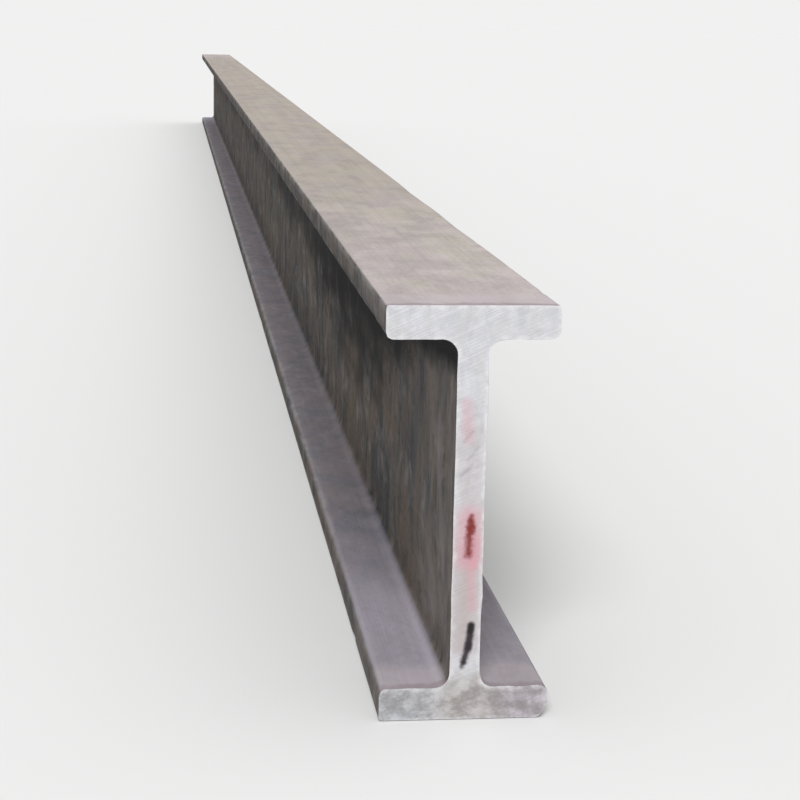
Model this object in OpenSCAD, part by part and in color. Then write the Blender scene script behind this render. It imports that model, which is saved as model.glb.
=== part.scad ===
// Steel H-beam
//
// A hot-rolled steel beam with parallel flanges, cut square at both ends.
// The bar lies level along Y with its bottom flange on the ground. The origin is
// on the underside, halfway across the width and halfway along the length.
// All sizes are in millimetres.

/* [Section] */

// Height over both flanges
depth = 250; // [200:5:300]
// Width across a flange
flange_w = 102; // [84:1:126]
// Thickness of a flange
flange_t = 20; // [16:0.5:24]
// Thickness of the web
web_t = 18; // [14:0.5:22]

/* [Rolled radii] */

// Fillet between the web and a flange
root_r = 9; // [6:0.5:12]
// Round on a flange tip's inner edge
toe_r = 5; // [3:0.5:6]
// Round on a flange tip's outer edge
corner_r = 2; // [1:0.25:3]

/* [Stock] */

// Length of the bar
bar_length = 6000; // [3000:500:12000]

/* [Display] */

// Part to draw
// Segments in a full circle
facets = 48; // [24:8:96]

/* [Hidden] */

$fn = facets;

half_w = flange_w / 2;
web_x = web_t / 2;

steel_color = [0.47, 0.45, 0.43];

// What a round of radius r takes off the square corner at (0, 0).
// The corner's two sides run along +X and +Y.
module corner_waste(r) {
  difference() {
    square(r);
    translate([r, r])
      circle(r);
  }
}

// Bottom flange: outer face on Y = 0, sharp corners.
module flange_blank() {
  translate([-half_w, 0])
    square([flange_w, flange_t]);
}

// What the rounds take off the flange's right-hand tip.
module tip_waste() {
  translate([half_w, 0])
    mirror([1, 0])
      corner_waste(corner_r);
  translate([half_w, flange_t])
    rotate(180)
      corner_waste(toe_r);
}

module flange() {
  difference() {
    flange_blank();
    tip_waste();
    mirror([1, 0])
      tip_waste();
  }
}

// Bottom flange with the two root fillets that run up to the web.
module flange_and_roots() {
  flange();
  translate([web_x, flange_t])
    corner_waste(root_r);
  mirror([1, 0])
    translate([web_x, flange_t])
      corner_waste(root_r);
}

// Web: reaches the outer face of both flanges, so it joins them solidly.
module web() {
  translate([-web_x, 0])
    square([web_t, depth]);
}

// The whole section, standing on its bottom flange.
module section() {
  flange_and_roots();
  translate([0, depth])
    mirror([0, 1])
      flange_and_roots();
  web();
}

// The section run out along Y, half of the length each way.
module h_beam() {
  color(steel_color)
    rotate([90, 0, 0])
      linear_extrude(height = bar_length, center = true, convexity = 4)
        section();
}

h_beam();
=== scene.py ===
"""Looks of the steel H-beam.

One bar of rolled steel, cut square at both ends. Its shape is built here as a finely
divided skin round the same section as the solid part: rounded corners, toes and root
fillets, faint rolling waves, dings on the flange edges, one knocked corner, and sawn
ends with a burr.
Everything is in metres, with X across the flanges, Y along the bar and Z up.
"""

import math
import random
from collections import Counter

import bpy
import numpy as np
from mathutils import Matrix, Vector, noise
from mathutils.geometry import delaunay_2d_cdt


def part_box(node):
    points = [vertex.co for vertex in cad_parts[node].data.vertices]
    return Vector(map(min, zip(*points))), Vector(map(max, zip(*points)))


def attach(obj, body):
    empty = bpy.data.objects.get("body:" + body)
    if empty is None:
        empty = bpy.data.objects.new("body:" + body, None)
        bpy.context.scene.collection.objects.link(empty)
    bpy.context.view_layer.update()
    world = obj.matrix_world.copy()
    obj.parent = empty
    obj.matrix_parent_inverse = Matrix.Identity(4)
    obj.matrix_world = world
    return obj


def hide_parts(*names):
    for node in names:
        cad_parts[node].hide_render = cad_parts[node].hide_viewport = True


MM = 0.001

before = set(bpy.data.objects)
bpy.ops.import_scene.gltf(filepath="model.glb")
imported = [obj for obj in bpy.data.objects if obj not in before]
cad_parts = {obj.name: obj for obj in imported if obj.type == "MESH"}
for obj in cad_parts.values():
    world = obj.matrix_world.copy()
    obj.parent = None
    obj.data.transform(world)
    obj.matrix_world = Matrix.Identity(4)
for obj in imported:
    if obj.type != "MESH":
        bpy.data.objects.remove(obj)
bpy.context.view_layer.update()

# ---------------------------------------------------------------------------
# Sizes of the rolled section
# ---------------------------------------------------------------------------


def read_section(steel):
    """The section's sizes, read off the outline of the solid bar's end."""
    low, high = (Vector(corner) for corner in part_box("h_beam"))
    middle = (low.z + high.z) / 2
    outline = {
        (round(abs(v.co.x), 6), round(v.co.z - low.z, 6))
        for v in steel.data.vertices
        if abs(v.co.y - low.y) < 0.01 * MM and v.co.z < middle
    }
    tip = max(x for x, z in outline)
    web = min(x for x, z in outline)
    flange = Counter(z for x, z in outline if z > 0).most_common(1)[0][0]
    tip_heights = sorted(z for x, z in outline if x == tip)
    web_start = min(z for x, z in outline if x == web)
    return {
        "low": low,
        "high": high,
        "depth": high.z - low.z,
        "tip": tip,
        "web": web,
        "flange": flange,
        "corner": tip_heights[0],
        "toe": flange - tip_heights[-1],
        "root": web_start - flange,
    }


section = read_section(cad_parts["h_beam"])
LOW, HIGH = section["low"], section["high"]

# ---------------------------------------------------------------------------
# The outline of the section
# ---------------------------------------------------------------------------

FLAT_STEP = 5 * MM
WEB_STEP = 12 * MM


def straight(start, end, outward, step):
    """Evenly spaced points from start to just before end, each with its outward direction."""
    count = max(1, round(math.dist(start, end) / step))
    return [
        (
            start[0] + (end[0] - start[0]) * i / count,
            start[1] + (end[1] - start[1]) * i / count,
            outward[0],
            outward[1],
        )
        for i in range(count)
    ]


def round_off(centre, radius, start, end, count, hollow=False):
    """Points round an arc between two angles in degrees. A hollow arc faces its centre."""
    points = []
    for i in range(count):
        angle = math.radians(start + (end - start) * i / count)
        x, z = math.cos(angle), math.sin(angle)
        side = -1 if hollow else 1
        points.append((centre[0] + radius * x, centre[1] + radius * z, side * x, side * z))
    return points


def quarter_outline():
    """From the middle of the underside, round one flange tip, to the middle of the web."""
    tip, web = section["tip"], section["web"]
    flange, corner = section["flange"], section["corner"]
    toe, root = section["toe"], section["root"]
    points = straight((0, 0), (tip - corner, 0), (0, -1), FLAT_STEP)
    points += round_off((tip - corner, corner), corner, -90, 0, 5)
    points += straight((tip, corner), (tip, flange - toe), (1, 0), FLAT_STEP)
    points += round_off((tip - toe, flange - toe), toe, 0, 90, 7)
    points += straight((tip - toe, flange), (web + root, flange), (0, 1), FLAT_STEP)
    points += round_off((web + root, flange + root), root, -90, -180, 7, hollow=True)
    points += straight((web, flange + root), (web, section["depth"] / 2), (1, 0), WEB_STEP)
    return points


def whole_outline():
    """The closed outline as rows of x, z and the outward direction, starting under the web."""
    quarter = quarter_outline()
    depth = section["depth"]
    half = list(quarter) + [(section["web"], depth / 2, 1, 0)]
    half += [(x, depth - z, nx, -nz) for x, z, nx, nz in reversed(quarter)]
    other = [(-x, z, -nx, nz) for x, z, nx, nz in reversed(half[1:-1])]
    rows = np.array(half + other)
    rows[:, 1] += LOW.z
    return rows


outline = whole_outline()
POINTS = len(outline)
outline_x, outline_z = outline[:, 0], outline[:, 1]
mid_z = (LOW.z + HIGH.z) / 2
fold_z = LOW.z + section["depth"] / 2 - np.abs(outline_z - mid_z)

# How far round the outline each point lies, from 0 to 1.
steps = np.hypot(np.diff(outline_x, append=outline_x[0]), np.diff(outline_z, append=outline_z[0]))
round_way = np.concatenate([[0], np.cumsum(steps)])
round_way /= round_way[-1]

# Distance from each point to the two edges of the nearest flange tip.
edge_corner = np.hypot(np.abs(outline_x) - section["tip"], fold_z - LOW.z)
edge_toe = np.hypot(np.abs(outline_x) - section["tip"], fold_z - LOW.z - section["flange"])

# ---------------------------------------------------------------------------
# The bar's skin
# ---------------------------------------------------------------------------

# Rings of points start at the rims of the two ends. The steps between them grow inwards.
RIM = 0.9 * MM
FIRST_STEP = 2.2 * MM
STEP_GROWTH = 0.03
LONGEST_STEP = 20 * MM

# Relief of the rolled surface, and how far dings and wear reach from an edge.
WAVE = 0.16 * MM
UNEVENNESS = 0.6 * MM
DING_COUNT = 34
DING_REACH = 4 * MM
WEAR_REACH = 4.5 * MM

# Within this distance of an end, dings are shorter and deeper.
KNOCKED_LENGTH = 0.3


def stations_from_end():
    """Distances from a sawn end, close together at the end and wider towards mid-bar."""
    half = (HIGH.y - LOW.y) / 2
    places = [RIM]
    while places[-1] < half:
        places.append(places[-1] + min(LONGEST_STEP, FIRST_STEP + STEP_GROWTH * places[-1]))
    scale = (half - RIM) / (places[-1] - RIM)
    return [RIM + (p - RIM) * scale for p in places]


def bar_stations():
    """Where along Y the skin's rings lie, the same from both ends."""
    from_end = stations_from_end()
    front = [LOW.y + s for s in from_end]
    return np.array(front + [HIGH.y - s for s in reversed(from_end[:-1])])


def edge_dings(count):
    """Small dents on the flange edges: where along the bar, which edge, how deep and long."""
    rng = random.Random(41)
    dings = []
    for i in range(count):
        from_end = rng.uniform(0.012, 0.5) if i % 2 else rng.uniform(0.5, 3.0)
        y = LOW.y + from_end if i % 4 < 2 else HIGH.y - from_end
        knocked = from_end < KNOCKED_LENGTH
        length = rng.uniform(5, 11) * MM if knocked else rng.uniform(22, 60) * MM
        dings.append(
            {
                "y": y,
                "side": rng.choice((-1, 1)),
                "top": rng.random() < 0.6,
                "toe": rng.random() < 0.35,
                "depth": rng.uniform(0.25, 1.0 if knocked else 0.55) * MM,
                "length": length,
            }
        )
    return dings


def ripple(x, y, z, size):
    """Smooth noise from -1 to 1, with its bumps about size metres apart."""
    return noise.noise(Vector((x / size, y / size, z / size)))


# The rolls leave the flange tips a little uneven, the same all along the bar.
rolled_unevenness = np.array(
    [
        max(0, ripple(x, 40, z, 0.007)) * UNEVENNESS * math.exp(-min(corner, toe) / (9 * MM))
        for x, z, corner, toe in zip(outline_x, outline_z, edge_corner, edge_toe)
    ]
)


def skin_depth(y, dings):
    """How far each point of the outline lies under the true rolled surface at one station."""
    sunk = np.array(rolled_unevenness)
    for i in range(POINTS):
        x, z = outline_x[i], outline_z[i]
        long_wave = ripple(x * 2, y * 0.6, z * 2 + 5, 0.13)
        cross_wave = ripple(x + 3, y * 0.12, z, 0.035)
        sunk[i] += WAVE * (0.5 + 0.7 * long_wave + 0.35 * cross_wave)
    for ding in dings:
        along = (y - ding["y"]) / ding["length"]
        if abs(along) > 2.5:
            continue
        away = (edge_toe if ding["toe"] else edge_corner) / DING_REACH
        here = (np.sign(outline_x) == ding["side"]) & ((outline_z > mid_z) == ding["top"])
        sunk += here * ding["depth"] * math.exp(-(along**2)) * np.exp(-(away**2))
    return np.maximum(sunk, 0)


KNOCK_FACING = (math.cos(math.radians(29)), -math.sin(math.radians(29)))
KNOCK_DEPTH = 4.4 * MM
KNOCK_LENGTH = 18 * MM


def knock_corner(x, z, y):
    """Flattens the front end's lower right corner, which is whole again a little way in."""
    beyond = (x - section["tip"]) * KNOCK_FACING[0] + (z - LOW.z) * KNOCK_FACING[1]
    depth = KNOCK_DEPTH * math.exp(-(((y - LOW.y) / KNOCK_LENGTH) ** 2))
    push = np.maximum(0, beyond + depth)
    return x - push * KNOCK_FACING[0], z - push * KNOCK_FACING[1]


def ring(y, sunk):
    """The outline's points at one station, moved in by sunk."""
    x, z = knock_corner(outline_x - outline[:, 2] * sunk, outline_z - outline[:, 3] * sunk, y)
    return np.column_stack([x, np.full(POINTS, y), z])


# ---------------------------------------------------------------------------
# The sawn ends
# ---------------------------------------------------------------------------

FACE_STEP = 2.4 * MM
FACE_JITTER = 0.3 * FACE_STEP
FACE_MARGIN = 1.1 * MM
SAME_POINT = 1e-7
SAW_PITCH = 7.5 * MM
SAW_SLANT = math.radians(24)
SHOULDER = 0.42 * MM
BURR = 0.60 * MM


def saw_depth(x, z, end):
    """How deep the cut lies behind a flat plane: slanted blade chatter on a slow drift."""
    across = x * math.sin(SAW_SLANT) + z * math.cos(SAW_SLANT)
    drift = ripple(x, end, z, 0.06)
    bend = ripple(x, end + 9, z, 0.03) * 1.5 * MM
    chatter = math.sin(2 * math.pi * (across + bend) / SAW_PITCH)
    return (0.10 + 0.07 * drift + 0.022 * chatter) * MM


def burr(end):
    """Steel pushed out past the section's inner edges by the blade, in metres."""
    inner = (np.abs(outline_x) < section["tip"] - 1 * MM) & (fold_z > LOW.z + 1 * MM)
    lumps = np.array(
        [max(0, 0.35 + ripple(x, end, z, 0.006) * 1.3) for x, z in zip(outline_x, outline_z)]
    )
    dragged = np.where(outline_x > 0, 1.0, 0.45)
    return inner * lumps * dragged * BURR


def inside_points(rim, margin):
    """Points spread over the sawn face, kept that far inside its rim."""
    rng = random.Random(7)
    corner = np.array(rim)
    following = np.roll(corner, -1, axis=0)
    run = following - corner
    points = []
    for x in np.arange(-section["tip"], section["tip"], FACE_STEP):
        for z in np.arange(LOW.z, HIGH.z, FACE_STEP):
            p = np.array([x, z]) + [rng.uniform(-FACE_JITTER, FACE_JITTER) for _ in range(2)]
            away = p - corner

            # Inside, a line from the point towards +X crosses the rim an odd number of times.
            crosses = (corner[:, 1] > p[1]) != (following[:, 1] > p[1])
            with np.errstate(divide="ignore", invalid="ignore"):
                meets = corner[:, 0] + away[:, 1] / run[:, 1] * run[:, 0]
            if (crosses & (meets > p[0])).sum() % 2 == 0:
                continue

            share = np.clip((away * run).sum(1) / (run**2).sum(1), 0, 1)
            if np.hypot(*(away - run * share[:, None]).T).min() > margin:
                points.append(tuple(p))
    return points


def face_triangles(rim, inner):
    """Triangles over the sawn face, as numbers of the rim's points and then the inner ones."""
    flat = [Vector((x, z)) for x, z in rim] + [Vector(p) for p in inner]
    edges = [(i, (i + 1) % len(rim)) for i in range(len(rim))]
    keep_inside = 1
    _, _, faces, origins, _, _ = delaunay_2d_cdt(flat, edges, [], keep_inside, SAME_POINT)
    return [[origins[corner][0] for corner in face] for face in faces]


# ---------------------------------------------------------------------------
# Putting the bar together
# ---------------------------------------------------------------------------

SKIN, SAWN_FRONT, SAWN_REAR = 0, 1, 2

# The finish map: the two sawn faces side by side along its top, and the skin below them with
# a rim at each end of it. Small gaps keep them apart.
ENDS_SHARE = 0.245
RIM_LEVELS = (0.001, 1 - ENDS_SHARE - 0.004)
SKIN_LEVELS = (0.006, 1 - ENDS_SHARE - 0.010)
SIDE_GAP = 0.004
TOP_GAP = 0.005


class BarMesh:
    """Collects the bar's points, faces, finish-map places and finish numbers."""

    def __init__(self):
        self.points = []
        self.faces = []
        self.places = []
        self.finish = []
        self.wear = []

    def add_ring(self, points, wear):
        """Adds points with their edge wear, and returns the number of the first one."""
        first = len(self.points)
        self.points += [tuple(p) for p in points]
        self.wear += list(wear)
        return first

    def add_face(self, corners, places, finish):
        self.faces.append(corners)
        self.places += places
        self.finish.append(finish)

    def bridge(self, first, second, level_a, level_b, finish):
        """Outward quads from one ring to the next along +Y, laid out between two levels of the
        finish map."""
        for i in range(POINTS):
            j = (i + 1) % POINTS
            left, right = round_way[i], round_way[i + 1]
            self.add_face(
                [first + i, second + i, second + j, first + j],
                [(left, level_a), (left, level_b), (right, level_b), (right, level_a)],
                finish,
            )


def map_place(spot, front):
    """A sawn face's point on the finish map: its height runs across, its width runs up."""
    tip = section["tip"]
    left = SIDE_GAP if front else 0.5 + SIDE_GAP
    bottom = 1 - ENDS_SHARE + TOP_GAP
    across = (0.5 - 2 * SIDE_GAP) * (spot[1] - LOW.z) / section["depth"]
    up = (ENDS_SHARE - 2 * TOP_GAP) * (spot[0] + tip) / (2 * tip)
    return left + across, bottom + up


def add_end(bar, last_ring, sunk, skin_level, rim_level, front):
    """A rim that turns over the edge, its burr, and the sawn face."""
    end_y, inward = (LOW.y, 1) if front else (HIGH.y, -1)
    number = 1.0 if front else 2.0
    finish = SAWN_FRONT if front else SAWN_REAR
    shallow = min(saw_depth(x, z, number) for x, z in zip(outline_x, outline_z))

    def cut_y(x, z):
        return end_y + inward * max(0, saw_depth(x, z, number) - shallow)

    lift = burr(number)
    softened = [0.16 + 0.10 * ripple(x, number, z, 0.012) for x, z in zip(outline_x, outline_z)]
    shoulder = ring(end_y + inward * SHOULDER, sunk + 0.04 * MM - lift)
    lip = ring(end_y, sunk + np.array(softened) * MM - lift * 0.6)
    lip[:, 1] = [cut_y(x, z) for x, _, z in lip]

    wear = np.ones(POINTS)
    shoulder_ring = bar.add_ring(shoulder, wear)
    lip_ring = bar.add_ring(lip, wear)
    middle = skin_level + (rim_level - skin_level) / 2
    if front:
        bar.bridge(shoulder_ring, last_ring, middle, skin_level, SKIN)
        bar.bridge(lip_ring, shoulder_ring, rim_level, middle, finish)
    else:
        bar.bridge(last_ring, shoulder_ring, skin_level, middle, SKIN)
        bar.bridge(shoulder_ring, lip_ring, middle, rim_level, finish)

    rim = [(x, z) for x, _, z in lip]
    inner = inside_points(rim, FACE_MARGIN)
    first_inner = bar.add_ring([(x, cut_y(x, z), z) for x, z in inner], np.zeros(len(inner)))
    spots = rim + inner
    for corners in face_triangles(rim, inner):
        a, b, c = (spots[k] for k in corners)
        turn = (b[0] - a[0]) * (c[1] - a[1]) - (b[1] - a[1]) * (c[0] - a[0])
        if (turn > 0) != front:
            corners = corners[::-1]
        bar.add_face(
            [lip_ring + k if k < POINTS else first_inner + k - POINTS for k in corners],
            [map_place(spots[k], front) for k in corners],
            finish,
        )


def build_bar():
    """The whole bar as one closed mesh object."""
    bar = BarMesh()
    dings = edge_dings(DING_COUNT)
    stations = bar_stations()
    nearest_edge = np.minimum(edge_corner, edge_toe)
    wear = np.exp(-((nearest_edge / WEAR_REACH) ** 2))
    depths = [skin_depth(y, dings) for y in stations]
    rings = [bar.add_ring(ring(y, sunk), wear) for y, sunk in zip(stations, depths)]
    levels = np.linspace(*SKIN_LEVELS, len(stations))
    for k in range(len(stations) - 1):
        bar.bridge(rings[k], rings[k + 1], levels[k], levels[k + 1], SKIN)
    add_end(bar, rings[0], depths[0], levels[0], RIM_LEVELS[0], front=True)
    add_end(bar, rings[-1], depths[-1], levels[-1], RIM_LEVELS[1], front=False)

    mesh = bpy.data.meshes.new("rolled_bar")
    mesh.from_pydata(bar.points, [], bar.faces)
    mesh.polygons.foreach_set("material_index", bar.finish)
    finish_map = mesh.uv_layers.new(name="OFBake")
    finish_map.data.foreach_set("uv", np.array(bar.places, dtype=float).ravel())
    worn = mesh.attributes.new("edge_wear", "FLOAT", "POINT")
    worn.data.foreach_set("value", np.array(bar.wear, dtype=float))
    mesh.polygons.foreach_set("use_smooth", [True] * len(bar.faces))
    mesh.set_sharp_from_angle(angle=math.radians(33))
    mesh.update()
    mesh.validate()
    bar_object = bpy.data.objects.new("rolled_bar", mesh)
    bpy.context.scene.collection.objects.link(bar_object)
    return bar_object


# ---------------------------------------------------------------------------
# Small helpers for wiring a finish
# ---------------------------------------------------------------------------

# A Mix node's colour sockets, by number because its other kinds have the same names.
COLOUR_A, COLOUR_B, MIXED_COLOUR = 6, 7, 2


def wire(tree, socket, value):
    """Sets an input to a number or colour, or links another node's output to it."""
    if isinstance(value, bpy.types.NodeSocket):
        tree.links.new(value, socket)
    else:
        socket.default_value = value


def add_node(tree, kind, inputs=None, **settings):
    """A new node with its settings, and its inputs set or linked by name."""
    node = tree.nodes.new(kind)
    for name, value in settings.items():
        setattr(node, name, value)
    for name, value in (inputs or {}).items():
        wire(tree, node.inputs[name], value)
    return node


def calc(tree, operation, a, b=0.0, clamp=False):
    """One step of arithmetic."""
    node = add_node(tree, "ShaderNodeMath", operation=operation, use_clamp=clamp)
    wire(tree, node.inputs[0], a)
    wire(tree, node.inputs[1], b)
    return node.outputs[0]


def calc_vector(tree, operation, a, b=(0, 0, 0)):
    """One step of arithmetic on vectors."""
    node = add_node(tree, "ShaderNodeVectorMath", operation=operation)
    wire(tree, node.inputs[0], a)
    wire(tree, node.inputs[1], b)
    return node.outputs["Value" if operation in ("DOT_PRODUCT", "LENGTH") else "Vector"]


def ease(tree, value, start, end, low=0.0, high=1.0):
    """Turns value into low at start and high at end, with a soft change between."""
    node = add_node(tree, "ShaderNodeMapRange", interpolation_type="SMOOTHSTEP")
    for name, number in (
        ("Value", value),
        ("From Min", start),
        ("From Max", end),
        ("To Min", low),
        ("To Max", high),
    ):
        wire(tree, node.inputs[name], number)
    return node.outputs["Result"]


def blend(tree, share, a, b, mode="MIX"):
    """Colour a with that share of colour b laid over it."""
    node = add_node(tree, "ShaderNodeMix", data_type="RGBA", blend_type=mode)
    wire(tree, node.inputs["Factor"], share)
    for socket, colour in zip((node.inputs[COLOUR_A], node.inputs[COLOUR_B]), (a, b)):
        if not isinstance(colour, bpy.types.NodeSocket):
            colour = (*colour, 1.0)
        wire(tree, socket, colour)
    return node.outputs[MIXED_COLOUR]


def start_group(name, inputs, outputs):
    """An empty shader node group with its named sockets."""
    group = bpy.data.node_groups.new(name, "ShaderNodeTree")
    for socket_name, kind, default in inputs:
        socket = group.interface.new_socket(name=socket_name, in_out="INPUT", socket_type=kind)
        socket.default_value = default
    for socket_name, kind in outputs:
        group.interface.new_socket(name=socket_name, in_out="OUTPUT", socket_type=kind)
    return group, group.nodes.new("NodeGroupInput"), group.nodes.new("NodeGroupOutput")


def place_group(tree, group, **inputs):
    """One copy of a group in a finish. Underscores in the input names stand for spaces."""
    node = add_node(tree, "ShaderNodeGroup", node_tree=group)
    for name, value in inputs.items():
        wire(tree, node.inputs[name.replace("_", " ")], value)
    return node


# ---------------------------------------------------------------------------
# Effects that the finishes share
# ---------------------------------------------------------------------------

NUMBER, VECTOR = "NodeSocketFloat", "NodeSocketVector"


def make_patches():
    """Soft-edged patches of a given size in X, Y and Z. Long thin ones make streaks."""
    group, given, out = start_group(
        "patches",
        [
            ("Position", VECTOR, (0, 0, 0)),
            ("Size", VECTOR, (0.1, 0.1, 0.1)),
            ("Shift", VECTOR, (0, 0, 0)),
            ("Start", NUMBER, 0.4),
            ("Full", NUMBER, 0.6),
            ("Detail", NUMBER, 4.0),
            ("Marbling", NUMBER, 0.0),
        ],
        [("Cover", NUMBER)],
    )
    scaled = calc_vector(group, "DIVIDE", given.outputs["Position"], given.outputs["Size"])
    moved = calc_vector(group, "ADD", scaled, given.outputs["Shift"])
    cloud = add_node(
        group,
        "ShaderNodeTexNoise",
        {
            "Vector": moved,
            "Scale": 1.0,
            "Detail": given.outputs["Detail"],
            "Roughness": 0.62,
            "Distortion": given.outputs["Marbling"],
        },
    )
    cover = ease(group, cloud.outputs["Fac"], given.outputs["Start"], given.outputs["Full"])
    group.links.new(cover, out.inputs["Cover"])
    return group


def make_edge_wear(patches):
    """Where the rolled edges are rubbed brighter, broken up along the bar."""
    group, given, out = start_group(
        "edge wear",
        [("Position", VECTOR, (0, 0, 0)), ("Amount", NUMBER, 1.0)],
        [("Cover", NUMBER)],
    )
    worn = add_node(group, "ShaderNodeAttribute", attribute_name="edge_wear").outputs["Fac"]
    broken = place_group(
        group,
        patches,
        Position=given.outputs["Position"],
        Size=(0.008, 0.04, 0.008),
        Start=0.36,
        Full=0.66,
    ).outputs["Cover"]
    rubbed = calc(group, "MULTIPLY", worn, ease(group, broken, 0.0, 1.0, 0.15, 1.0))
    cover = calc(group, "MULTIPLY", rubbed, given.outputs["Amount"], clamp=True)
    group.links.new(cover, out.inputs["Cover"])
    return group


def make_stroke(patches):
    """One hand-drawn stroke from a start to an end point, ragged and thin in places."""
    group, given, out = start_group(
        "hand stroke",
        [
            ("Position", VECTOR, (0, 0, 0)),
            ("From", VECTOR, (0, 0, 0)),
            ("To", VECTOR, (0, 0, 1)),
            ("Width", NUMBER, 0.003),
            ("Softness", NUMBER, 0.5),
            ("Ragged", NUMBER, 0.3),
        ],
        [("Cover", NUMBER)],
    )
    run = calc_vector(group, "SUBTRACT", given.outputs["To"], given.outputs["From"])
    away = calc_vector(group, "SUBTRACT", given.outputs["Position"], given.outputs["From"])
    along = calc(
        group,
        "DIVIDE",
        calc_vector(group, "DOT_PRODUCT", away, run),
        calc_vector(group, "DOT_PRODUCT", run, run),
        clamp=True,
    )
    foot = add_node(group, "ShaderNodeVectorMath", operation="SCALE")
    wire(group, foot.inputs[0], run)
    wire(group, foot.inputs["Scale"], along)
    reach = calc_vector(group, "LENGTH", calc_vector(group, "SUBTRACT", away, foot.outputs[0]))
    lumps = place_group(
        group,
        patches,
        Position=given.outputs["Position"],
        Size=(0.0022, 0.0022, 0.0022),
        Start=0.25,
        Full=0.75,
    ).outputs["Cover"]
    half = calc(group, "MULTIPLY", given.outputs["Width"], 0.5)
    wobble = calc(group, "MULTIPLY", calc(group, "MULTIPLY", half, given.outputs["Ragged"]), lumps)
    edge = calc(group, "ADD", reach, wobble)
    inner = calc(group, "MULTIPLY", half, calc(group, "SUBTRACT", 1.0, given.outputs["Softness"]))
    cover = ease(group, edge, half, inner)
    group.links.new(cover, out.inputs["Cover"])
    return group


# ---------------------------------------------------------------------------
# Finishes
# ---------------------------------------------------------------------------

SCALE_BLUE = (0.060, 0.062, 0.068)
SCALE_BROWN = (0.116, 0.094, 0.080)
SCALE_PALE = (0.215, 0.200, 0.196)
# Black flecks in the scale, and also the painted shade under the top flange.
BLACK_SCALE_AND_SHADE = (0.012, 0.012, 0.013)
RUN_OLIVE = (0.150, 0.136, 0.096)
RUST = (0.200, 0.105, 0.066)
# Dust at the open ends, which is also painted light falling in there.
DUST_AND_END_LIGHT = (0.240, 0.214, 0.200)
DUST_NEAR = (0.540, 0.486, 0.479)
DUST_WARM = (0.448, 0.404, 0.352)
DUST_MAUVE = (0.400, 0.352, 0.360)
DUST_YELLOW = (0.450, 0.420, 0.345)
DUST_CHANNEL = (0.350, 0.335, 0.436)
DUST_DARK = (0.240, 0.210, 0.200)
DUST_SCRUBBED = (0.505, 0.450, 0.482)
DUST_TINTED = (0.290, 0.240, 0.262)
WORN_STEEL = (0.270, 0.258, 0.252)

SAWN_LIGHT = (0.655, 0.658, 0.692)
SAWN_DULL = (0.400, 0.402, 0.420)
SAWN_WARM = (0.510, 0.480, 0.432)
SAWN_GRIMY = (0.290, 0.278, 0.280)
# Rubbed arris, partly a painted highlight along the sawn edges.
ARRIS_WEAR_AND_HIGHLIGHT = (0.820, 0.820, 0.835)
FOOT_BLUE = (0.955, 0.977, 1.000)
FOOT_CREAM = (1.000, 0.965, 0.930)
FOOT_MAUVE = (0.930, 0.870, 0.915)
RED_PAINT = (0.200, 0.020, 0.016)
PINK_SMEAR = (0.620, 0.290, 0.345)
HANDLED_GRIME = (0.420, 0.345, 0.338)
SAW_NICK = (0.300, 0.292, 0.300)
BLACK_PAINT = (0.005, 0.005, 0.005)
THIN_BLACK = (0.020, 0.012, 0.018)

SKIN_SPECULAR = 0.04
SKIN_RELIEF = 0.15 * MM
SAWN_METALLIC = 0.20
SAWN_RELIEF = 0.16 * MM


class Finish:
    """One material while it is wired. Its x, y and z are places on the bar, in metres."""

    def __init__(self, name, patches):
        self.material = bpy.data.materials.new(name)
        self.material.use_nodes = True
        self.tree = self.material.node_tree
        self.shader = self.tree.nodes["Principled BSDF"]
        self.patches = patches
        self.position = add_node(self.tree, "ShaderNodeTexCoord").outputs["Object"]
        place = add_node(self.tree, "ShaderNodeSeparateXYZ", {"Vector": self.position})
        self.x, self.y, self.z = (place.outputs[axis] for axis in "XYZ")

    def plus(self, a, b):
        return calc(self.tree, "ADD", a, b)

    def minus(self, a, b):
        return calc(self.tree, "SUBTRACT", a, b)

    def times(self, a, b):
        return calc(self.tree, "MULTIPLY", a, b)

    def unsigned(self, value):
        """The value without its sign."""
        return calc(self.tree, "ABSOLUTE", value)

    def ease(self, value, start, end, low=0.0, high=1.0):
        return ease(self.tree, value, start, end, low, high)

    def spread(self, size, start, full, shift=(0, 0, 0), detail=4.0, marbling=0.0, at=None):
        """Where soft patches of that size lie: the lower start and full, the more there are."""
        return place_group(
            self.tree,
            self.patches,
            Position=self.position if at is None else at,
            Size=size,
            Start=start,
            Full=full,
            Shift=shift,
            Detail=detail,
            Marbling=marbling,
        ).outputs["Cover"]

    def rubbed(self, edge_wear, amount):
        """Where the edges are worn."""
        worn = place_group(self.tree, edge_wear, Position=self.position, Amount=amount)
        return worn.outputs["Cover"]

    def lay(self, under, colour, cover, strength=1.0, mode="MIX"):
        """A colour laid over another one as far as cover and strength say."""
        if strength < 1.0:
            cover = self.times(cover, strength)
        return blend(self.tree, cover, under, colour, mode)

    def dress(self, colour, rough, height, relief):
        """Gives the shader its colour, its roughness and fine relief of that depth."""
        bump = add_node(self.tree, "ShaderNodeBump", {"Height": height, "Distance": relief})
        bump.inputs["Strength"].default_value = 1.0
        self.tree.links.new(colour, self.shader.inputs["Base Color"])
        self.tree.links.new(rough, self.shader.inputs["Roughness"])
        self.tree.links.new(bump.outputs["Normal"], self.shader.inputs["Normal"])


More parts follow.
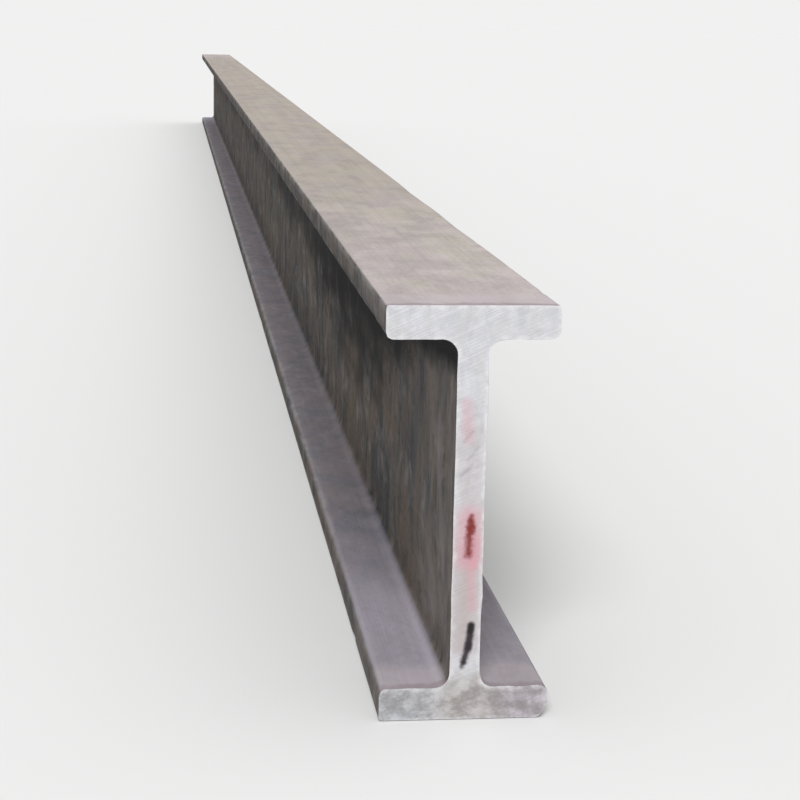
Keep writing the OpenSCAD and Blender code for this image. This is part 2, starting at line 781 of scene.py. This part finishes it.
def scale_colour(skin, upright):
    """Mill scale in blue-black and brown clouds, with smudges, runs, flecks and a little rust.

    Returns the colour, and where the pale smudges lie."""
    clouds = skin.spread((0.030, 0.055, 0.090), 0.38, 0.62, (0, 0, 0), 9.0, 0.8)
    smudges = skin.spread((0.016, 0.040, 0.030), 0.46, 0.76, (7, 0, 0), 9.0, 0.6)
    runs = skin.spread((0.05, 0.016, 0.16), 0.47, 0.72, (0, 3, 0), 8.0, 0.4)
    flecks = skin.spread((0.004, 0.010, 0.006), 0.52, 0.70, (0, 8, 0), 5.0)
    rust = skin.spread((0.008, 0.012, 0.012), 0.56, 0.72, (0, 0, 5), 6.0)
    rusty_part = skin.spread((0.09, 0.20, 0.09), 0.46, 0.70, (2, 0, 0))

    colour = skin.lay(SCALE_BLUE, SCALE_BROWN, clouds)
    colour = skin.lay(colour, SCALE_PALE, smudges, 0.60)
    colour = skin.lay(colour, RUN_OLIVE, skin.times(runs, upright), 0.60)
    colour = skin.lay(colour, BLACK_SCALE_AND_SHADE, flecks, 0.40)
    colour = skin.lay(colour, RUST, skin.times(rust, rusty_part), 0.60)
    return colour, smudges


def dust_and_end_light(skin, from_end):
    """Where dust has blown in at the open ends of the channels, which also paints light falling
    in there: the scale is made lighter near each end.
    """
    drift = skin.spread((0.03, 0.035, 0.06), 0.30, 0.66, (0, 4, 4), 7.0, 0.5)
    return skin.times(skin.ease(from_end, 0.26, 0.0, 0.0, 0.66), drift)


def painted_flange_shade(skin, from_end, from_front, below_top):
    """Painted shade close under the top flange: black laid on the scale where the flange shades
    it.

    It is shallow and patchy on the whole, but deep and black in the left channel a little way
    in from the front end."""
    left_side = skin.ease(skin.x, 0.002, -0.002)
    front_part = skin.times(left_side, skin.ease(from_front, 2.4, 0.5))
    deeper = skin.times(front_part, skin.ease(from_front, 0.05, 0.50, 0.0, 0.055))
    reach = skin.plus(skin.ease(from_end, 0.0, 0.50, 0.030, 0.084), deeper)
    torn = skin.spread((0.05, 0.16, 0.06), 0.26, 0.74, (0, 5, 5), 8.0)
    reach = skin.times(reach, skin.ease(torn, 0.0, 1.0, 1.35, 0.85))
    flange_shade = skin.ease(below_top, reach, skin.times(reach, 0.45), 0.0, 0.96)

    patchy = skin.spread((0.05, 0.30, 0.08), 0.34, 0.66, (0, 7, 1), 8.0, 0.5)
    faded = skin.times(skin.minus(1.0, front_part), skin.ease(patchy, 0.0, 1.0, 0.30, 0.75))
    return skin.times(flange_shade, skin.minus(1.0, faded))


def dust_colour(skin, from_end, in_channel, rolls):
    """Settled dust: warmer along the bar, blotched, mauve in the channels, streaked by the
    rolls, and scrubbed and tinted next to the saw cut."""
    blotches = skin.spread((0.038, 0.080, 0.038), 0.38, 0.62, (4, 0, 0), 8.0, 0.5)
    yellowed = skin.spread((0.042, 0.13, 0.042), 0.44, 0.68, (9, 0, 0), 7.0, 0.5)
    broad_rolls = skin.spread((0.014, 1.2, 0.014), 0.38, 0.62, (0, 1, 2), 3.0)
    specks = skin.spread((0.0032, 0.0060, 0.0032), 0.50, 0.72, (0, 0, 9), 5.0)
    ragged = skin.spread((0.014, 0.02, 0.014), 0.2, 0.8, (0, 0, 4))
    from_cut = skin.plus(from_end, skin.times(ragged, 0.010))

    dust = skin.lay(DUST_NEAR, DUST_WARM, skin.ease(from_end, 0.10, 0.90))
    dust = skin.lay(dust, DUST_MAUVE, blotches, 0.60)
    dust = skin.lay(dust, DUST_YELLOW, yellowed, 0.60)
    dust = skin.lay(dust, DUST_CHANNEL, in_channel, 0.70)
    dust = skin.lay(dust, DUST_DARK, rolls, 0.12)
    dust = skin.lay(dust, DUST_DARK, broad_rolls, 0.13)
    dust = skin.lay(dust, DUST_DARK, specks, 0.30)
    dust = skin.lay(dust, DUST_SCRUBBED, skin.ease(from_cut, 0.055, 0.034), 0.60)
    return skin.lay(dust, DUST_TINTED, skin.ease(from_cut, 0.017, 0.010), 0.65)


def dust_cover_and_shade(skin, up, from_end, in_channel):
    """Where dust lies: on all that faces up, but less of it deep in the channels, and least in
    the right one. The thinning in the channels is painted shade."""
    thin = skin.spread((0.03, 0.06, 0.03), 0.28, 0.60, (0, 6, 0), 6.0)
    cover = skin.times(skin.ease(up, 0.35, 0.92), skin.ease(thin, 0.0, 1.0, 0.84, 1.0))
    # Painted shade: less dust, so darker scale, the deeper into a channel, and more so in the
    # right one.
    channel_shade = skin.ease(from_end, 0.02, 0.46, 0.04, 0.60)
    channel_shade = skin.plus(channel_shade, skin.ease(skin.x, 0.0, 0.02, 0.0, 0.16))
    return skin.times(cover, skin.minus(1.0, skin.times(channel_shade, in_channel)))


def make_rolled_skin(patches, edge_wear):
    """Dark mill scale on the upright and under sides, with pale dust on all that faces up,
    painted shade under the top flange and in the channels, and painted light near the ends.
    """
    skin = Finish("rolled mill skin", patches)
    normal = add_node(skin.tree, "ShaderNodeNewGeometry").outputs["Normal"]
    up = add_node(skin.tree, "ShaderNodeSeparateXYZ", {"Vector": normal}).outputs["Z"]
    upright = skin.ease(skin.unsigned(up), 0.75, 0.25)
    half_length = (HIGH.y - LOW.y) / 2
    from_end = skin.minus(half_length, skin.unsigned(skin.y))
    from_front = skin.minus(skin.y, LOW.y)
    below_top = skin.minus(HIGH.z - section["flange"], skin.z)
    in_channel = skin.ease(below_top, -0.010, 0.0)
    rolls = skin.spread((0.0026, 0.7, 0.0026), 0.32, 0.68, (0, 0, 2), 5.0)
    worn = skin.rubbed(edge_wear, 0.75)

    colour, smudges = scale_colour(skin, upright)
    # Dust and painted light: the scale lighter near each open end.
    colour = skin.lay(colour, DUST_AND_END_LIGHT, dust_and_end_light(skin, from_end))
    # Painted shade: black laid on the scale close under the top flange, deepest in the left
    # channel a little way in from the front end.
    flange_shade = skin.times(painted_flange_shade(skin, from_end, from_front, below_top), in_channel)
    colour = skin.lay(colour, BLACK_SCALE_AND_SHADE, flange_shade)
    colour = skin.lay(colour, WORN_STEEL, worn)
    cover = dust_cover_and_shade(skin, up, from_end, in_channel)
    colour = skin.lay(colour, dust_colour(skin, from_end, in_channel, rolls), cover)

    rough = skin.ease(smudges, 0.0, 1.0, 0.80, 0.64)
    rough = skin.plus(rough, skin.times(cover, 0.14))
    rough = skin.minus(rough, skin.times(worn, 0.12))

    grain = skin.spread((0.0014, 0.0022, 0.0014), 0.2, 0.8, (0, 0, 1), 2.0)
    pits = skin.spread((0.005, 0.008, 0.005), 0.56, 0.70, (3, 3, 0), 3.0)
    height = skin.plus(skin.times(rolls, 0.6), skin.times(grain, 0.45))
    height = skin.minus(height, skin.times(pits, 0.6))

    skin.shader.inputs["Specular IOR Level"].default_value = SKIN_SPECULAR
    skin.dress(colour, rough, height, SKIN_RELIEF)
    return skin.material


# Strokes on the front end, laid on in this order: from and to as x and height above the
# underside, then width, softness, raggedness, strength and colour.
HAND_MARKS = (
    # Grime from handling: heavier low on the web, thinner above.
    ((0.0000, 0.104), (-0.0010, 0.048), 0.032, 1.0, 0.0, 0.70, HANDLED_GRIME),
    ((0.0000, 0.176), (0.0010, 0.122), 0.030, 1.0, 0.0, 0.34, HANDLED_GRIME),
    # Pink smeared round the red and down the web.
    ((0.0008, 0.124), (0.0002, 0.100), 0.026, 1.0, 0.0, 0.66, PINK_SMEAR),
    ((0.0050, 0.112), (0.0034, 0.096), 0.010, 1.0, 0.1, 0.55, PINK_SMEAR),
    ((0.0020, 0.094), (0.0036, 0.070), 0.013, 1.0, 0.3, 0.40, PINK_SMEAR),
    ((-0.003, 0.193), (-0.0015, 0.172), 0.014, 1.0, 0.2, 0.36, PINK_SMEAR),
    # Nicks left by the saw's teeth.
    ((-0.0044, 0.1700), (0.0012, 0.1764), 0.0046, 1.0, 0.4, 0.42, SAW_NICK),
    ((-0.0012, 0.1596), (0.0044, 0.1668), 0.0046, 1.0, 0.4, 0.40, SAW_NICK),
    ((-0.0056, 0.1494), (0.0008, 0.1560), 0.0048, 1.0, 0.4, 0.46, SAW_NICK),
    # The red daub: a thick blot, thin above and dragged out below.
    ((0.0016, 0.1256), (0.0008, 0.1225), 0.0056, 0.9, 0.1, 0.85, RED_PAINT),
    ((0.0016, 0.1218), (0.0014, 0.1172), 0.0094, 0.8, 0.3, 0.96, RED_PAINT),
    ((0.0024, 0.1192), (0.0006, 0.1184), 0.0082, 0.9, 0.3, 0.85, RED_PAINT),
    ((0.0008, 0.1180), (0.0002, 0.1020), 0.0100, 0.9, 0.3, 0.96, RED_PAINT),
    # The short black stroke, thinning downwards.
    ((0.0032, 0.0586), (0.0018, 0.0450), 0.0074, 0.7, 0.1, 0.98, THIN_BLACK),
    ((0.0020, 0.0465), (-0.0008, 0.0360), 0.0076, 0.8, 0.2, 0.96, THIN_BLACK),
    ((-0.0006, 0.0370), (-0.0018, 0.0330), 0.0056, 1.0, 0.2, 0.85, THIN_BLACK),
    ((0.0034, 0.0586), (0.0028, 0.0550), 0.0060, 0.9, 0.1, 0.96, BLACK_PAINT),
)


def stain_foot(steel, colour, low_part):
    """The bottom flange's end: bluish on the left, cream in the middle, and mauve and streaked
    on the right."""
    off_middle = steel.unsigned(steel.x)
    for place, start, full, tint in (
        (steel.x, -0.004, -0.026, FOOT_BLUE),
        (off_middle, 0.030, 0.012, FOOT_CREAM),
        (steel.x, 0.010, 0.032, FOOT_MAUVE),
    ):
        share = steel.times(low_part, steel.ease(place, start, full))
        colour = steel.lay(colour, tint, share, mode="MULTIPLY")
    streaks = steel.spread((0.0024, 0.0024, 0.0110), 0.44, 0.62, (6, 0, 0), 5.0)
    streaks = steel.times(streaks, steel.ease(steel.x, 0.008, 0.028, 0.0, 0.45))
    return steel.lay(colour, SAWN_GRIMY, steel.times(streaks, low_part))


def draw_marks(steel, colour, stroke):
    """The hand-made strokes, one over the other."""
    for start, end, width, softness, ragged, strength, paint in HAND_MARKS:
        drawn = place_group(
            steel.tree,
            stroke,
            Position=steel.position,
            From=(start[0], LOW.y, LOW.z + start[1]),
            To=(end[0], LOW.y, LOW.z + end[1]),
            Width=width,
            Softness=softness,
            Ragged=ragged,
        ).outputs["Cover"]
        colour = steel.lay(colour, paint, drawn, strength)
    return colour


def make_sawn_steel(name, patches, edge_wear, stroke=None):
    """Bright cut steel with slanted blade lines and an arris that is rubbed and has a painted
    highlight. Given the stroke effect, it is also stained at the foot and marked by hand."""
    marked = stroke is not None
    steel = Finish(name, patches)
    slanted = add_node(
        steel.tree,
        "ShaderNodeMapping",
        {"Vector": steel.position, "Rotation": (0, SAW_SLANT if marked else -SAW_SLANT, 0)},
    ).outputs["Vector"]
    lines = steel.spread((0.040, 0.040, 0.0009), 0.32, 0.68, at=slanted)
    bands = steel.spread((0.060, 0.060, 0.0045), 0.35, 0.65, (0, 2, 0), at=slanted)
    mottle = steel.spread((0.0050, 0.0050, 0.0070), 0.40, 0.64, (0, 0, 3), 7.0)
    scuffs = steel.spread((0.012, 0.012, 0.018), 0.44, 0.66, (0, 4, 3), 7.0)
    colour = steel.lay(SAWN_LIGHT, SAWN_DULL, mottle, 0.30)
    colour = steel.lay(colour, SAWN_DULL, lines, 0.26)
    colour = steel.lay(colour, SAWN_DULL, bands, 0.16)
    colour = steel.lay(colour, SAWN_DULL, scuffs, 0.24)

    # Warm stains, and grime caked on the bottom flange.
    depth = section["depth"]
    low_part = steel.ease(steel.z, LOW.z + 0.14 * depth, LOW.z + 0.07 * depth)
    stain = steel.spread((0.010, 0.010, 0.020), 0.46, 0.68, (8, 0, 0), 6.0)
    stain = steel.times(stain, steel.ease(low_part, 0.0, 0.5, 0.25, 0.60))
    colour = steel.lay(colour, SAWN_WARM, stain)
    caked = steel.spread((0.011, 0.011, 0.008), 0.30, 0.70, (5, 0, 5), 10.0)
    grimy = steel.times(low_part, steel.ease(caked, 0.0, 1.0, 0.22, 1.0))
    colour = steel.lay(colour, SAWN_GRIMY, grimy)

    if marked:
        colour = stain_foot(steel, colour, low_part)
        colour = draw_marks(steel, colour, stroke)
    # The arris is rubbed brighter, and this also paints a highlight along the sawn edges.
    colour = steel.lay(colour, ARRIS_WEAR_AND_HIGHLIGHT, steel.rubbed(edge_wear, 0.55))

    rough = steel.ease(lines, 0.0, 1.0, 0.40, 0.58)
    height = steel.plus(steel.times(lines, 0.5), steel.times(bands, 0.6))
    steel.shader.inputs["Metallic"].default_value = SAWN_METALLIC
    steel.dress(colour, rough, height, SAWN_RELIEF)
    return steel.material


# ---------------------------------------------------------------------------
# Studio
# ---------------------------------------------------------------------------

FLOOR_COLOUR = (0.76, 0.76, 0.762, 1.0)
FLOOR_REACH = 60.0
FLOOR_GAP = 0.2 * MM
ROOM_COLOUR = (0.985, 0.99, 1.0, 1.0)
ROOM_LIGHT = 0.50
WALL_COLOUR = (0.8775, 0.877, 0.875, 1.0)

# The camera stands to the left of the web, in front of the sawn end and above the bar, and aims
# a little left of the web at a height above the floor.
LENS = 84.0
CAMERA_LEFT = 0.1726
CAMERA_BACK = 1.040
CAMERA_ABOVE = 0.162
AIM_LEFT = 0.042
AIM_HEIGHT = 0.195
CAMERA_ROLL = math.radians(1.2)


def make_floor_paint():
    """Matt pale paint."""
    material = bpy.data.materials.new("pale studio floor")
    material.use_nodes = True
    shader = material.node_tree.nodes["Principled BSDF"]
    shader.inputs["Base Color"].default_value = FLOOR_COLOUR
    shader.inputs["Roughness"].default_value = 1.0
    shader.inputs["Specular IOR Level"].default_value = 0.0
    return material


def lay_floor():
    """A wide level floor, a hair below the bar."""
    mesh = bpy.data.meshes.new("studio_floor")
    directions = [(-1, -1), (1, -1), (1, 1), (-1, 1)]
    corners = [(FLOOR_REACH * x, FLOOR_REACH * y, LOW.z - FLOOR_GAP) for x, y in directions]
    mesh.from_pydata(corners, [], [(0, 1, 2, 3)])
    mesh.materials.append(make_floor_paint())
    floor = bpy.data.objects.new("studio_floor", mesh)
    bpy.context.scene.collection.objects.link(floor)


def hang_light(name, direction, strength, softness, colour):
    """A broad soft light from one direction, even along the whole bar. Softness is in degrees."""
    lamp = bpy.data.lights.new(name, "SUN")
    lamp.energy = strength
    lamp.angle = math.radians(softness)
    lamp.color = colour
    light = bpy.data.objects.new(name, lamp)
    light.rotation_euler = Vector(direction).to_track_quat("Z", "Y").to_euler()
    bpy.context.scene.collection.objects.link(light)


def light_studio():
    """Low even room light, a broad front light from above and a weak one overhead."""
    world = bpy.data.worlds.new("pale room")
    world.use_nodes = True
    tree = world.node_tree
    room = tree.nodes["Background"]
    room.inputs["Color"].default_value = ROOM_COLOUR
    room.inputs["Strength"].default_value = ROOM_LIGHT
    wall = add_node(tree, "ShaderNodeBackground", {"Color": WALL_COLOUR, "Strength": 1.0})
    seen = add_node(tree, "ShaderNodeLightPath").outputs["Is Camera Ray"]
    mixed = add_node(tree, "ShaderNodeMixShader", {"Fac": seen})
    tree.links.new(room.outputs["Background"], mixed.inputs[1])
    tree.links.new(wall.outputs["Background"], mixed.inputs[2])
    tree.links.new(mixed.outputs["Shader"], tree.nodes["World Output"].inputs["Surface"])
    scene = bpy.context.scene
    scene.world = world
    scene.view_settings.view_transform = "Standard"
    hang_light("front", (-0.22, -1.0, 0.9), strength=2.3, softness=24, colour=(1.0, 0.995, 0.985))
    hang_light("overhead", (0.20, 0.25, 1.0), strength=0.6, softness=60, colour=(1.0, 0.985, 0.96))


def set_camera():
    """Standing at the front end, a little left of the web and above the top flange."""
    lens = bpy.data.cameras.new("camera")
    lens.sensor_width = 36.0
    lens.lens = LENS
    lens.clip_start = 0.05
    lens.clip_end = 200.0
    camera = bpy.data.objects.new("camera", lens)
    camera.location = (-CAMERA_LEFT, LOW.y - CAMERA_BACK, HIGH.z + CAMERA_ABOVE)
    aim = Vector((-AIM_LEFT, LOW.y, LOW.z + AIM_HEIGHT))
    turned = (aim - camera.location).to_track_quat("-Z", "Y").to_euler()
    turned.rotate_axis("Z", CAMERA_ROLL)
    camera.rotation_euler = turned
    bpy.context.scene.collection.objects.link(camera)
    bpy.context.scene.camera = camera


# ---------------------------------------------------------------------------
# The scene
# ---------------------------------------------------------------------------

patches = make_patches()
edge_wear = make_edge_wear(patches)
stroke = make_stroke(patches)

bar = build_bar()
bar.data.materials.append(make_rolled_skin(patches, edge_wear))
bar.data.materials.append(make_sawn_steel("sawn steel front", patches, edge_wear, stroke))
bar.data.materials.append(make_sawn_steel("sawn steel rear", patches, edge_wear))
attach(bar, "root")
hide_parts("h_beam")

lay_floor()
light_studio()
set_camera()
